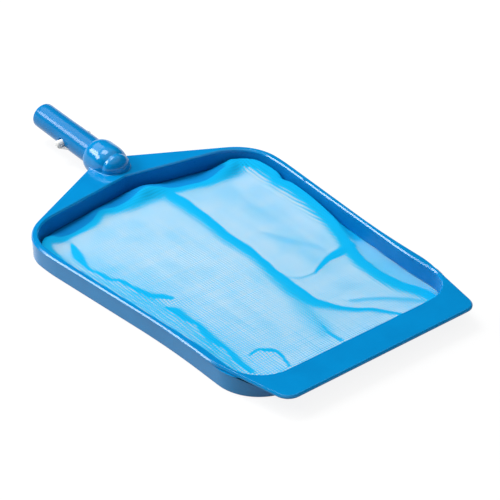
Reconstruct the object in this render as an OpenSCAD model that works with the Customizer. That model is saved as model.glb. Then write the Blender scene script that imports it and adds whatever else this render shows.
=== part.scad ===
// Flat leaf skimmer head: a blue moulded frame with a scoop lip and a handle socket,
// a fine net clamped under it by a retaining ring, and a handle tube with a sprung clip.
// The origin is on the floor under the middle of the whole length. +Y points to the handle.

/* [Net opening] */
// Length of the opening along its middle line
opening_l = 352; // [300:1:400]
// Width of the opening beside the handle corners
opening_rear_w = 272; // [250:1:300]
// Width of the opening beside the lip corners
opening_front_w = 237.6; // [220:0.2:246]
// Angle of each half of the rear wall, which comes to a shallow V
rear_angle = 10.3; // [4:0.1:14]
// Radius of the opening's two rear corners
rear_corner_r = 45; // [30:1:50]
// Radius of the opening's two front corners
front_corner_r = 36; // [24:1:44]
// Length from the rear edge to the bend where the sides start to taper
taper_start = 80; // [74:1:100]
// Length from the front edge to the bend where the taper ends
taper_end = 72; // [60:1:90]

/* [Rim, lip and wall] */
// Width of the rim beside the rear corners
rim_rear_w = 7; // [6:0.1:9]
// Width of the rim beside the front corners
rim_front_w = 8.2; // [7:0.1:10]
// Radius of the rim's rear corners
rim_corner_r = 55; // [45:1:58]
// Thickness of the rim, the lip and the socket plate
rim_t = 3; // [2.4:0.1:4]
// Rounding of the rim's edges
rim_edge = 0.6; // [0.3:0.1:0.8]
// How far the rim's bead stands out over the wall
bead = 1; // [0.6:0.1:1.6]
// Height of the frame from the floor to the rim's top
frame_h = 21; // [17:0.5:26]
// Thickness of the rear and front walls
end_wall_t = 5; // [4.4:0.1:7]
// Depth of the scoop lip in front of the opening
lip_l = 33.4; // [24:0.1:40]
// Width of the lip's front edge, with its corners squared
lip_front_w = 219; // [205:1:225]
// Radius of the lip's corners
lip_corner_r = 14; // [8:1:18]
// Radius of the wall's two rear corners
wall_rear_r = 48; // [40:1:50]
// Radius of the wall's two front corners
wall_front_r = 45; // [38:1:50]
// Thickness of the ribs under the lip and the socket plate
rib_t = 2.4; // [1.6:0.1:3]
// Depth of those ribs
rib_h = 9; // [6:0.5:11]
// Number of ribs under the lip
lip_ribs = 7; // [3:2:11]

/* [Net clamp] */
// Thickness of the retaining ring
ring_t = 1.6; // [1.2:0.1:1.7]
// Height of the ring's lower edge over the floor
ring_lift = 1.8; // [1.7:0.1:2.4]
// Thickness of the folded hem tape
hem_t = 0.5; // [0.3:0.05:0.6]
// Height of the hem tape
hem_h = 12; // [8:0.5:14]
// Thickness of the net as a solid
net_t = 0.9; // [0.7:0.1:1]
// Width of one strand of the coarse net
strand_w = 3; // [2:0.5:4]
// Number of gaps across the net
net_nx = 14; // [8:1:14]
// Number of gaps along the net
net_ny = 20; // [10:1:20]
// Height of the tallest fold in the net
fold_h = 7.5; // [3:0.5:9]
// Length of the two locating tongues on the ring
tongue_l = 4; // [3:0.5:6]
// Distance of the tongues from the rear edge of the opening
tongue_back = 119.5; // [100:0.5:150]

/* [Handle socket] */
// Height of the handle's axis over the floor, at the rear edge of the opening
axis_h = 20.5; // [20:0.5:24]
// Upward tilt of the handle
handle_tilt = 2.5; // [0:0.1:4]
// Length of the socket plate behind the opening
plate_l = 47.3; // [42:0.1:52]
// Angle of the plate's two long edges
plate_angle = 29; // [27:0.1:30]
// Largest radius of the socket
socket_r = 19.4; // [18.4:0.1:20]
// Radius of the nose in front of the socket
nose_r = 16.4; // [15.5:0.1:17]
// Distance of the nose's tip behind the opening
nose_front = 5.2; // [4:0.2:7]
// Length of the nose, up to the barrel's shoulder
nose_l = 14; // [12:0.5:15]
// Distance of the socket's mouth behind the opening
socket_end = 54; // [50:0.5:58]
// Distance of the bore's floor behind the opening
bore_floor = 17; // [16.5:0.5:24]

/* [Handle tube] */
// Outer radius of the handle tube
tube_r = 14; // [13:0.1:14.4]
// Wall of the handle tube
tube_wall = 2.2; // [1.8:0.1:2.4]
// Distance of the tube's free end behind the opening
tube_end = 150.4; // [144:0.2:180]
// Length of the slimmer lead-in at the free end
lead_l = 46; // [30:1:46]
// How much smaller the lead-in's radius is
lead_step = 0.2; // [0.1:0.05:0.4]
// Chamfer of the free end
tube_chamfer = 1.2; // [0.6:0.1:1.6]

/* [Sprung clip] */
// Distance of the buttons behind the opening
button_back = 95; // [92:0.5:97]
// Radius of a button
button_r = 4; // [3:0.1:4.2]
// How far a button stands out of the tube
button_out = 7; // [5:0.1:7.2]
// How far the buttons sit under the tube's axis
button_drop = 2.2; // [0:0.1:2.6]
// Thickness of the clip's arms
arm_t = 2; // [1.4:0.1:2.2]
// Length of an arm from its flexing root to the button
arm_l = 50; // [46:0.5:52]
// Inner radius of the clip's bend
bend_r = 4.5; // [4:0.1:5]
// Angle that an arm turns when its button is pressed home
press_angle = 8; // [6:0.5:8.5]
// Length of the tail beside each button
tail_l = 11; // [6:0.5:12]
// Thickness of the tail
tail_t = 1.6; // [1.2:0.1:2]

/* [Clearances] */
// Step between the rim's inner edge and the ring's face
ring_step = 0.4; // [0.2:0.05:0.5]
// Gap between the hem tape and what holds it
hem_gap = 0.15; // [0.1:0.05:0.2]
// Gap between the net and the ring
net_gap = 0.3; // [0.2:0.05:0.4]
// Gap around the tongues
tongue_gap = 0.15; // [0.1:0.05:0.2]
// Radial gap between the tube and the socket's bore
socket_gap = 0.05; // [0.02:0.01:0.1]
// Gap around the buttons and tails in the tube
button_gap = 0.35; // [0.3:0.05:0.5]
// Gap between the clip's moving arms and its bend
flex_gap = 0.3; // [0.25:0.05:0.4]

/* [Hidden] */
$fn = 64;

blue = [0.03, 0.42, 0.74];
deep_blue = [0.02, 0.33, 0.62];
net_blue = [0.55, 0.83, 0.96];
hem_blue = [0.10, 0.55, 0.85];
clip_white = [0.95, 0.95, 0.94];

eps = 0.01;
arc_steps = 12;
bend_steps = 6;

// The free end of the tilted tube is the rearmost point and the lip's edge the foremost one
lead_r = tube_r - lead_step;
back_l = tube_end * cos(handle_tilt) + (lead_r - tube_chamfer) * sin(handle_tilt);
overall_l = lip_l + opening_l + back_l;
y_lip = -overall_l / 2;
y_front = y_lip + lip_l;
y_rear = y_front + opening_l;
y_middle = (y_front + y_rear) / 2;
y_taper_rear = y_rear - taper_start;
y_taper_front = y_front + taper_end;

rear_x = opening_rear_w / 2;
front_x = opening_front_w / 2;
rim_rear_x = rear_x + rim_rear_w;
rim_front_x = front_x + rim_front_w;
rim_z = frame_h - rim_t;

// Tangent lengths of the slight bends along the sides
side_bend = 14;
waist_bend = 44;
lip_bend = 11;
// The rim's taper starts this much behind the opening's, and ends this much behind it
taper_lead = 4;
waist_run = 36;
// Length from the opening's front edge to where the rim turns in to the lip
lip_run = 48;
// Distance of each upright rib under the socket plate from the middle
plate_rib_x = [38, 68, 98];
// Depth of a rib at its end near the rim's edge
rib_edge = 1;

// Layers outward from the opening: ring, hem tape and the pocket's wall
ring_in = ring_step;
ring_out = ring_in + ring_t;
hem_in = ring_out + hem_gap;
hem_out = hem_in + hem_t;
pocket = hem_out + hem_gap;
hem_z = 0.5;

// Lengths over which the socket's barrel swells and its mouth rolls in
shoulder_l = 14;
mouth_roll = 12;
mouth_lip = 0.3;
barrel_front = nose_front + nose_l;
tube_play = 0.5;

// Places along and across the handle's own axis
tube_start = bore_floor + tube_play;
tube_bore = tube_r - tube_wall;
lead_start = tube_end - tube_chamfer - lead_l;
button_z = -button_drop;
tail_z = button_z - button_r;
// Where the tube's outer and inner faces are beside the buttons
tube_side = sqrt(pow(tube_r, 2) - pow(button_drop, 2));
bore_side = sqrt(pow(tube_bore, 2) - pow(button_drop + button_r, 2));
arm_x = bore_side - button_gap - arm_t / 2;
root_x = bend_r + arm_t / 2;
root_y = button_back - arm_l;
button_tip = tube_side + button_out;
button_dome = 1.6;
// Length of the arm past the middle of its button, and of the bend's legs. A leg is longer
// than the bend's outer radius, so that the ring ends before the arms
pad_l = 4;
leg_l = bend_r + arm_t + 1;
// The tail's far end stays inside the tube, and its near end keeps back from the tip
tail_sunk = 1.4;
tail_back = 1.2;
tail_flat = 2;
// How far the button swings towards the free end as it goes in
swing = (button_tip - root_x) * sin(press_angle);

// Soft folds of the net. Each is a ridge from a to b, measured from the opening's middle,
// with its share of the tallest fold's height and its width
folds = [
    [[30, 120], [26, -70], 1.0, 13],
    [[26, -70], [66, -142], 0.8, 12],
    [[104, -10], [92, -104], 0.9, 11],
    [[84, -52], [108, -38], 0.7, 9],
    [[-96, 60], [-104, -20], 0.6, 11],
    [[-100, -40], [-72, -128], 0.7, 12],
    [[-60, 148], [40, 152], 0.8, 10],
    [[84, 128], [116, 74], 1.0, 12]
];
// Share of the net's half width over which the folds die away towards the hem
edge_fade = 0.12;

// ---- outlines -------------------------------------------------------------------------

function direction(a, b) = (b - a) / norm(b - a);
function cross_z(a, b) = a[0] * b[1] - a[1] * b[0];
function turn_at(a, b, c) = acos(max(-1, min(1, direction(a, b) * direction(b, c))));

// Radius whose tangent points lie t before and after a slight bend
function bend_radius(a, b, c, t) = t / tan(turn_at(a, b, c) / 2);

// Arc of radius r that rounds the corner b of the path a, b, c. It may use up to the given
// share of the shorter side, and is tightened to fit where that is too little
function corner_arc(a, b, c, r, steps, share = 0.72) =
    let (u = direction(b, a), turn = turn_at(a, b, c),
         run = min(r * tan(turn / 2), share * min(norm(a - b), norm(c - b))),
         fit_r = run / tan(turn / 2), start = b + u * run,
         side = sign(cross_z(direction(a, b), direction(b, c))),
         n = [-u[1], u[0]] * -side, centre = start + n * fit_r)
    [for (k = [0:steps])
        let (w = side * turn * k / steps, d = start - centre)
        centre + [d[0] * cos(w) - d[1] * sin(w), d[0] * sin(w) + d[1] * cos(w)]];

// Half outline from the rear middle to the front middle, mirrored to a closed loop
function closed(half) = concat(half,
    [for (i = [len(half) - 1:-1:0]) if (half[i][0] > eps) [-half[i][0], half[i][1]]]);

// Loop moved outward by d, with mitred corners
function grow(loop, d) =
    [for (i = [0:len(loop) - 1])
        let (p = loop[(i + len(loop) - 1) % len(loop)], q = loop[i],
             s = loop[(i + 1) % len(loop)], u = direction(p, q), v = direction(q, s),
             m = [-u[1] - v[1], u[0] + v[0]])
        q + m * 2 * d / (m * m)];

function opening_half() =
    let (a = [0, y_rear], b = [rear_x, y_rear - rear_x * tan(rear_angle)],
         c = [rear_x, y_taper_rear], d = [front_x, y_taper_front],
         e = [front_x, y_front], f = [0, y_front])
    concat([a], corner_arc(a, b, c, rear_corner_r, arc_steps),
           corner_arc(b, c, d, bend_radius(b, c, d, side_bend), bend_steps, 0.26),
           corner_arc(c, d, e, bend_radius(c, d, e, side_bend), bend_steps, 0.26),
           corner_arc(d, e, f, front_corner_r, arc_steps), [f]);

function rim_half() =
    let (a = [0, y_rear + plate_l],
         b = [rim_rear_x, y_rear + plate_l - rim_rear_x * tan(plate_angle)],
         c = [rim_rear_x, y_taper_rear + taper_lead],
         d = [rim_front_x, y_taper_front + waist_run],
         e = [rim_front_x, y_front + lip_run],
         f = [lip_front_w / 2, y_lip], g = [0, y_lip])
    concat([a], corner_arc(a, b, c, rim_corner_r, arc_steps),
           corner_arc(b, c, d, bend_radius(b, c, d, lip_bend), bend_steps, 0.26),
           corner_arc(c, d, e, bend_radius(c, d, e, waist_bend), bend_steps),
           corner_arc(d, e, f, bend_radius(d, e, f, lip_bend), bend_steps, 0.26),
           corner_arc(e, f, g, lip_corner_r, arc_steps), [g]);

function wall_half() =
    let (x0 = rim_rear_x - bead, x1 = rim_front_x - bead,
         a = [0, y_rear + end_wall_t],
         b = [x0, y_rear + end_wall_t - x0 * tan(rear_angle)],
         c = [x0, y_taper_rear + taper_lead], d = [x1, y_taper_front + waist_run],
         e = [x1, y_front - end_wall_t], f = [0, y_front - end_wall_t])
    concat([a], corner_arc(a, b, c, wall_rear_r, arc_steps),
           corner_arc(b, c, d, bend_radius(b, c, d, lip_bend), bend_steps, 0.26),
           corner_arc(c, d, e, bend_radius(c, d, e, waist_bend), bend_steps),
           corner_arc(d, e, f, wall_front_r, arc_steps), [f]);

opening_loop = closed(opening_half());
rim_loop = closed(rim_half());
wall_loop = closed(wall_half());

// Half width of the opening at a height y along it
side_table = [for (p = opening_half()) if (p[0] > eps) [-p[1], p[0]]];
function opening_x(y) = lookup(-y, side_table);

// A level slab with the outline of one loop and the hole of another
module band(outer, inner, z0, z1) {
    translate([0, 0, z0])
        linear_extrude(z1 - z0)
            difference() {
                polygon(outer);
                polygon(inner);
            }
}

// ---- frame ----------------------------------------------------------------------------

// Places a child along the tilted axis of the handle, with +Y towards its free end
module on_handle() {
    translate([0, y_rear, axis_h])
        rotate([handle_tilt, 0, 0])
            children();
}

// Turns an outline of [radius, distance] about the handle's axis
module turned(outline) {
    on_handle()
        rotate([-90, 0, 0])
            rotate_extrude()
                polygon(outline);
}

module rim() {
    band(grow(rim_loop, -rim_edge), grow(opening_loop, rim_edge / 2), rim_z, rim_z + rim_edge);
    band(rim_loop, opening_loop, rim_z + rim_edge, frame_h - rim_edge);
    band(grow(rim_loop, -rim_edge), grow(opening_loop, rim_edge / 2), frame_h - rim_edge, frame_h);
}

module wall() {
    band(wall_loop, grow(opening_loop, pocket), 0, rim_z + eps);
}

// Outline of the socket from the nose's round tip, over the crease and the swell of the
// barrel, to the mouth that rolls in to the tube
function socket_outline() = concat(
    [[0, nose_front]],
    [for (w = [12:13:90]) [nose_r * sin(w), nose_front + nose_l * (1 - cos(w))]],
    [for (w = [26:16:90])
        [nose_r + (socket_r - nose_r) * sin(w), barrel_front + shoulder_l * (1 - cos(w))]],
    [for (w = [0:12:84])
        [tube_r + (socket_r - tube_r) * cos(w), socket_end - mouth_roll * (1 - sin(w))]],
    [[tube_r + socket_gap + mouth_lip, socket_end], [0, socket_end]]);

// Upright rib along Y between two distances, with its end that is nearer the rim's edge cut
// away at 45 degrees
module rib(x, y_wall, y_edge) {
    slope = sign(y_wall - y_edge);
    translate([x - rib_t / 2, 0, 0])
        rotate([90, 0, 90])
            linear_extrude(rib_t)
                polygon([[y_wall, rim_z + eps], [y_edge, rim_z + eps], [y_edge, rim_z - rib_edge],
                         [y_edge + slope * (rib_h - rib_edge), rim_z - rib_h],
                         [y_wall, rim_z - rib_h]]);
}

// Thin upright ribs under the socket plate and under the lip
module ribs() {
    intersection() {
        band(grow(rim_loop, -2 * rib_t), grow(opening_loop, pocket + eps),
             rim_z - rib_h, rim_z + eps);
        union() {
            for (s = [-1, 1], x = plate_rib_x)
                rib(s * x, y_rear - rim_rear_x * tan(rear_angle),
                    y_rear + plate_l - x * tan(plate_angle) - 2 * rib_t);
            for (k = [0:lip_ribs - 1])
                rib((k - (lip_ribs - 1) / 2) * opening_front_w / (lip_ribs + 1), y_front,
                    y_lip + 2 * rib_t);
        }
    }
}

// Middle of each tongue, over the ring's thickness
tongue_y = y_rear - tongue_back;
tongue_x = opening_x(tongue_y) + (ring_in + ring_out) / 2;
taper_lean = atan2(rear_x - front_x, y_taper_rear - y_taper_front);
module tongues(gap, z0, z1) {
    for (s = [-1, 1])
        translate([s * tongue_x, tongue_y, z0])
            rotate([0, 0, -s * taper_lean])
                translate([-ring_t / 2 + tongue_gap - gap, -tongue_l / 2 - gap, 0])
                    cube([ring_t - 2 * tongue_gap + 2 * gap, tongue_l + 2 * gap, z1 - z0]);
}

module frame() {
    color(blue)
        difference() {
            union() {
                rim();
                wall();
                turned(socket_outline());
                ribs();
            }
            turned([[0, bore_floor], [tube_r + socket_gap, bore_floor],
                    [tube_r + socket_gap, socket_end + 1], [0, socket_end + 1]]);
            tongues(tongue_gap, rim_z - 1, frame_h + 1);
        }
}

// ---- net clamp and net ----------------------------------------------------------------

module retaining_ring() {
    color(deep_blue) {
        band(grow(opening_loop, ring_out), grow(opening_loop, ring_in), ring_lift, rim_z);
        tongues(0, rim_z - eps, frame_h - rim_edge);
    }
}

module net_hem() {
    color(hem_blue)
        band(grow(opening_loop, hem_out), grow(opening_loop, hem_in), hem_z, hem_z + hem_h);
}

function ridge(p, f) =
    let (d = f[1] - f[0], t = max(0, min(1, (p - f[0]) * d / (d * d))),
         g = norm(p - f[0] - d * t) / f[3])
    f[2] * exp(-g * g);
function tallest(p) = max([for (f = folds) ridge(p - [0, y_middle], f)]);
function flat_edge(s) = let (t = min(1, s / edge_fade)) t * t * (3 - 2 * t);

// The net fills the hem, less a gap. Its rows run across between a straight front edge and
// the rear edge's V, each up to where it meets the hem
net_z = ring_lift - net_gap - net_t;
net_reach = hem_in - net_gap;
net_front = y_front - net_reach;
net_rear = y_rear + net_reach / cos(rear_angle);
function row_l(x) = net_rear - abs(x) * tan(rear_angle) - net_front;
row_ends = [for (p = grow(opening_loop, net_reach)) if (p[0] > eps)
    [(p[1] - net_front) / row_l(p[0]), p[0]]];

// Point of the net for u across and v along, both from 0 to 1
function net_point(u, v) =
    let (x = (2 * u - 1) * lookup(v, row_ends), y = net_front + v * row_l(x),
         edge = 2 * min(u, 1 - u, v, 1 - v))
    [x, y, net_z + fold_h * flat_edge(edge) * tallest([x, y])];

function line_pos(i, n, w) = floor(i / 2) * (1 - w) / n + (i % 2) * w;
net_u = [for (i = [0:2 * net_nx + 1]) line_pos(i, net_nx, strand_w / opening_rear_w)];
net_v = [for (j = [0:2 * net_ny + 1]) line_pos(j, net_ny, strand_w / opening_l)];
net_cols = len(net_u);
net_rows = len(net_v);
net_low = [for (v = net_v, u = net_u) net_point(u, v)];
net_points = concat(net_low, [for (p = net_low) p + [0, 0, net_t]]);

// True where the square between four neighbouring lines is a gap and not a strand
function is_gap(i, j) = i % 2 == 1 && j % 2 == 1;
function is_cloth(i, j) = i >= 0 && j >= 0 && i < net_cols - 1 && j < net_rows - 1 && !is_gap(i, j);
function quad(a, b, c, d) = [[a, b, c], [a, c, d]];
net_faces = [for (j = [0:net_rows - 2], i = [0:net_cols - 2]) if (is_cloth(i, j))
    let (a = j * net_cols + i, b = a + 1, c = b + net_cols, d = a + net_cols, t = len(net_low))
    each concat(quad(a, b, c, d), quad(d + t, c + t, b + t, a + t),
                is_cloth(i, j - 1) ? [] : quad(a, a + t, b + t, b),
                is_cloth(i, j + 1) ? [] : quad(c, c + t, d + t, d),
                is_cloth(i - 1, j) ? [] : quad(d, d + t, a + t, a),
                is_cloth(i + 1, j) ? [] : quad(b, b + t, c + t, c))];

module net_mesh() {
    color(net_blue)
        polyhedron(net_points, net_faces);
}

// ---- handle tube and sprung clip ------------------------------------------------------

module handle_tube() {
    color(blue)
        difference() {
            turned([[tube_bore, tube_start], [tube_r, tube_start], [tube_r, lead_start],
                    [lead_r, lead_start], [lead_r, tube_end - tube_chamfer],
                    [lead_r - tube_chamfer, tube_end], [tube_bore, tube_end]]);
            on_handle()
                for (s = [-1, 1])
                    scale([s, 1, 1])
                        tube_window();
        }
}

// Slot that one button and its tail pass through. It is a single outline pushed out through
// the wall, so that its round end and its flat floor meet cleanly
module tube_window() {
    slot_r = button_r + button_gap;
    tail_start = button_back - tail_l - button_gap;
    tail_top = tail_z + tail_t + button_gap;
    step_y = button_back - sqrt(pow(slot_r, 2) - pow(tail_top - button_z, 2));
    far_end = [for (w = [-80:10:90]) [button_back + swing + slot_r * cos(w), button_z + slot_r * sin(w)]];
    near_end = [for (w = [90:10:200]) [button_back + slot_r * cos(w), button_z + slot_r * sin(w)]];
    translate([bore_side / 2, 0, 0])
        rotate([90, 0, 90])
            linear_extrude(tube_r)
                polygon(concat(
                    [[tail_start, button_z - slot_r], [button_back + swing, button_z - slot_r]],
                    far_end,
                    near_end,
                    [[step_y, tail_top], [tail_start, tail_top]]));
}

// Half ring that joins the arms, with its two short legs
module clip_bend() {
    bend_w = 2 * (bend_r + arm_t);
    color(clip_white)
        on_handle()
            translate([0, root_y - arm_t / 2 - flex_gap - leg_l, button_z - button_r])
                linear_extrude(2 * button_r)
                    difference() {
                        union() {
                            circle(d = bend_w);
                            translate([-bend_w / 2, 0])
                                square([bend_w, leg_l]);
                        }
                        circle(r = bend_r);
                        translate([-bend_r, 0])
                            square([2 * bend_r, bend_w]);
                    }
}

// One arm on the +X side: a flat strip from its round root to the button, and the button
module clip_arm() {
    arm_lean = atan2(arm_x - root_x, arm_l);
    strip_l = norm([arm_x - root_x, arm_l]);
    translate([0, 0, button_z - button_r])
        linear_extrude(2 * button_r) {
            translate([root_x, root_y])
                circle(r = arm_t / 2);
            translate([root_x, root_y])
                rotate(-arm_lean)
                    translate([-arm_t / 2, 0])
                        square([arm_t, strip_l]);
            translate([arm_x - arm_t / 2, button_back - button_r])
                square([arm_t, button_r + pad_l]);
        }
    translate([arm_x, button_back, button_z])
        rotate([0, 90, 0])
            rotate_extrude()
                polygon(button_outline(button_tip - arm_x));
    translate([0, 0, tail_z])
        linear_extrude(tail_t)
            polygon([[arm_x, button_back], [button_tip - tail_back, button_back],
                     [button_tip - tail_back, button_back - tail_flat],
                     [tube_side - tail_sunk, button_back - tail_l],
                     [arm_x - arm_t / 2, button_back - tail_l]]);
}

// Straight pin with a rounded end, from the arm to the button's tip
function button_outline(length) = concat(
    [[0, 0], [button_r, 0]],
    [for (w = [0:15:90])
        [button_r - button_dome * (1 - cos(w)), length - button_dome * (1 - sin(w))]],
    [[0, length]]);

module clip_arm_right() {
    color(clip_white)
        on_handle()
            clip_arm();
}

module clip_arm_left() {
    color(clip_white)
        on_handle()
            mirror([1, 0, 0])
                clip_arm();
}

frame();
retaining_ring();
net_hem();
net_mesh();
handle_tube();
clip_bend();
clip_arm_left();
clip_arm_right();
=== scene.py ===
# %% [markdown]
# # A flat leaf skimmer, dressed over its exact solids
# A leaf skimmer is a shallow net in a stiff moulded frame, pushed on the end of a pole to lift
# leaves off a pool. Its exact solids are loaded first and never moved. Each of them is then
# covered by a finished piece in the same place, with the rounded edges, the folds and the
# finish that the solids leave out.

# %% Load the solids
from math import acos, atan2, cos, exp, hypot, pi, radians, sin, sqrt, tan

import bmesh
import bpy
import numpy as np
from mathutils import Matrix, Vector


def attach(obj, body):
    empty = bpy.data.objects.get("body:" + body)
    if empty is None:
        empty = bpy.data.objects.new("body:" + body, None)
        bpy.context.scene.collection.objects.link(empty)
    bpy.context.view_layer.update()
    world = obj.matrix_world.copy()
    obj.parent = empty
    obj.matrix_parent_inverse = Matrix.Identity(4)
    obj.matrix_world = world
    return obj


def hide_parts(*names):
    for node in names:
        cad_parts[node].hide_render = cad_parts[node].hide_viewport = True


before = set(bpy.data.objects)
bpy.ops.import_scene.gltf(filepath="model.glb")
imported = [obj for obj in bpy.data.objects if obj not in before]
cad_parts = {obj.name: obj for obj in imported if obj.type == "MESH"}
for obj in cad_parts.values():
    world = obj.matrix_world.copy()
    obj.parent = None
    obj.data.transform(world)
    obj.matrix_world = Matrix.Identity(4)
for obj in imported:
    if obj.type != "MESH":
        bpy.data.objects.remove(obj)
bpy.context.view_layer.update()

# %% [markdown]
# ## The sizes that the finished pieces share
# The frame, the ring, the hem and the net all follow the same opening, so its sizes are named
# once. They are millimetres, in the same place as the solids: the floor is at 0, and the
# handle points along +Y.

# %% Sizes in millimetres
MM = 0.001
Y_REAR, Y_FRONT, Y_LIP = 117.297, -234.703, -268.103
Y_MIDDLE = (Y_REAR + Y_FRONT) / 2
REAR_X, FRONT_X = 136.0, 118.8
RIM_REAR_X, RIM_FRONT_X = 143.0, 127.0
LIP_X = 109.5
REAR_ANGLE = radians(10.3)
REAR_TAN, PLATE_TAN = tan(REAR_ANGLE), tan(radians(29))
TAPER_REAR, TAPER_FRONT = Y_REAR - 80, Y_FRONT + 72
SIDE_REAR, SIDE_FRONT = TAPER_REAR + 4, TAPER_FRONT + 36
TOP, RIM_Z = 21.0, 18.0
PLATE_L, END_WALL, BEAD = 47.3, 5.0, 1.0
RING_IN, RING_OUT, HEM_IN, HEM_OUT, POCKET = 0.4, 2.0, 2.15, 2.65, 2.8


# %% [markdown]
# ## Outlines seen from above
# Every level of the frame is an outline seen from above: a few straight edges whose corners
# are rounded by arcs. Half of it is drawn and mirrored, so both sides are alike. Each outline
# has the same number of points, with its corners at the same places in the list, so a wall
# can be pulled from one outline to the next with clean four-sided faces.

# %% Round a corner of an outline
def unit(v):
    return v / hypot(*v)


def corner(a, b, c, radius=None, run=None, share=0.72, steps=24):
    """Arc that rounds the corner b of the path a, b, c. It has the given radius, or starts
    the given run before the corner."""
    a, b, c = (np.array(p, float) for p in (a, b, c))
    into, out = unit(b - a), unit(c - b)
    turn = acos(max(-1.0, min(1.0, float(into @ out))))
    wanted = run if radius is None else radius * tan(turn / 2)
    run = min(wanted, share * min(hypot(*(b - a)), hypot(*(c - b))))
    side = 1 if into[0] * out[1] > into[1] * out[0] else -1
    start = b - into * run
    centre = start + np.array([-into[1], into[0]]) * side * run / tan(turn / 2)
    arm = start - centre
    turns = [side * turn * k / steps for k in range(steps + 1)]
    return [centre + [arm[0] * cos(w) - arm[1] * sin(w), arm[0] * sin(w) + arm[1] * cos(w)]
            for w in turns]


# %% Spread the points evenly and mirror the half
SPREAD = (44, 62, 52, 44)


def outline(parts, corners):
    """Closed outline from the parts of its right half, which runs from the middle of the rear
    to the middle of the front. The middle of each numbered part stays a corner."""
    line, marks = [], [0]
    for n, part in enumerate(parts):
        if n in corners:
            marks.append(len(line) + len(part) // 2)
        line.extend(part)
    line = np.array(line, float)
    marks.append(len(line) - 1)
    half = [line[0]]
    for start, end, count in zip(marks, marks[1:], SPREAD):
        run = line[start:end + 1]
        length = np.concatenate([[0], np.cumsum(np.hypot(*np.diff(run, axis=0).T))])
        at = np.linspace(0, length[-1], count + 1)[1:]
        half.extend(np.stack([np.interp(at, length, run[:, k]) for k in (0, 1)], axis=1))
    half = np.array(half)
    left = half[-2:0:-1] * [-1, 1]
    return np.concatenate([half, left])


# %% The opening, the rim and the wall
def opening_outline():
    a, b = (0, Y_REAR), (REAR_X, Y_REAR - REAR_X * REAR_TAN)
    c, d = (REAR_X, TAPER_REAR), (FRONT_X, TAPER_FRONT)
    e, f = (FRONT_X, Y_FRONT), (0, Y_FRONT)
    return outline([[a], corner(a, b, c, 45), corner(b, c, d, run=14, share=0.26),
                    corner(c, d, e, run=14, share=0.26), corner(d, e, f, 36), [f]], (1, 3, 4))


def rim_outline():
    a, b = (0, Y_REAR + PLATE_L), (RIM_REAR_X, Y_REAR + PLATE_L - RIM_REAR_X * PLATE_TAN)
    c, d = (RIM_REAR_X, SIDE_REAR), (RIM_FRONT_X, SIDE_FRONT)
    e, f, g = (RIM_FRONT_X, Y_FRONT + 48), (LIP_X, Y_LIP), (0, Y_LIP)
    return outline([[a], corner(a, b, c, 55), corner(b, c, d, run=11, share=0.26),
                    corner(c, d, e, run=44), corner(d, e, f, run=11, share=0.26),
                    corner(e, f, g, 14), [g]], (1, 3, 5))


def wall_outline():
    x0, x1 = RIM_REAR_X - BEAD, RIM_FRONT_X - BEAD
    a, b = (0, Y_REAR + END_WALL), (x0, Y_REAR + END_WALL - x0 * REAR_TAN)
    c, d = (x0, SIDE_REAR), (x1, SIDE_FRONT)
    e, f = (x1, Y_FRONT - END_WALL), (0, Y_FRONT - END_WALL)
    return outline([[a], corner(a, b, c, 48), corner(b, c, d, run=11, share=0.26),
                    corner(c, d, e, run=44), corner(d, e, f, 45), [f]], (1, 3, 4))


OUTLINES = {"opening": opening_outline(), "rim": rim_outline(), "wall": wall_outline()}
for name, loop in OUTLINES.items():
    print(name, len(loop), "points, reaches", loop.max(axis=0).round(2))


# %% Move an outline outward and lift it
def grown(loop, out):
    """Outline moved outward, with mitred corners."""
    before, after = np.roll(loop, 1, axis=0), np.roll(loop, -1, axis=0)
    u, v = loop - before, after - loop
    u = u / np.hypot(*u.T)[:, None]
    v = v / np.hypot(*v.T)[:, None]
    m = np.stack([-u[:, 1] - v[:, 1], u[:, 0] + v[:, 0]], axis=1)
    return loop + m * 2 * out / (m * m).sum(axis=1)[:, None]


def levels(name, *places):
    """The named outline at each place, which is how far out and how high it lies."""
    return [np.insert(grown(OUTLINES[name], out), 2, z, axis=1) for out, z in places]


def rounding(steps, first=1):
    """Shares across and down of a quarter circle, from its side round to its end."""
    turns = [pi / 2 * k / steps for k in range(first, steps + 1)]
    return [(1 - cos(w), 1 - sin(w)) for w in turns]


# %% [markdown]
# ## Pulling a wall from outline to outline
# The frame, the ring, the hem, the tube and the socket are all walls that run round a closed
# line. Each starts as a circle of points on the first outline. Its edge is extruded once for
# each further outline, and the new points are put on it. Where the last outline is the first
# one again, the two are merged, which closes the shell.

# %% Tools for a new piece
SHARP = 32  # degrees between two faces from which their edge is shaded sharp


def only(*objects):
    """Selects these objects alone. The last one is active."""
    if bpy.context.mode != "OBJECT":
        bpy.ops.object.mode_set(mode="OBJECT")
    bpy.ops.object.select_all(action="DESELECT")
    for thing in objects:
        thing.select_set(True)
        bpy.context.view_layer.objects.active = thing


def close_up(piece, angle=SHARP):
    """Merges what meets, closes open ends, turns the faces outwards and shades the piece."""
    only(piece)
    bpy.ops.object.mode_set(mode="EDIT")
    bpy.ops.mesh.select_all(action="SELECT")
    bpy.ops.mesh.remove_doubles(threshold=0.001 * MM)
    bpy.ops.mesh.fill_holes(sides=0)
    bpy.ops.mesh.select_all(action="SELECT")
    bpy.ops.mesh.normals_make_consistent(inside=False)
    bpy.ops.object.mode_set(mode="OBJECT")
    bpy.ops.object.shade_smooth_by_angle(angle=radians(angle))
    return piece


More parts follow.
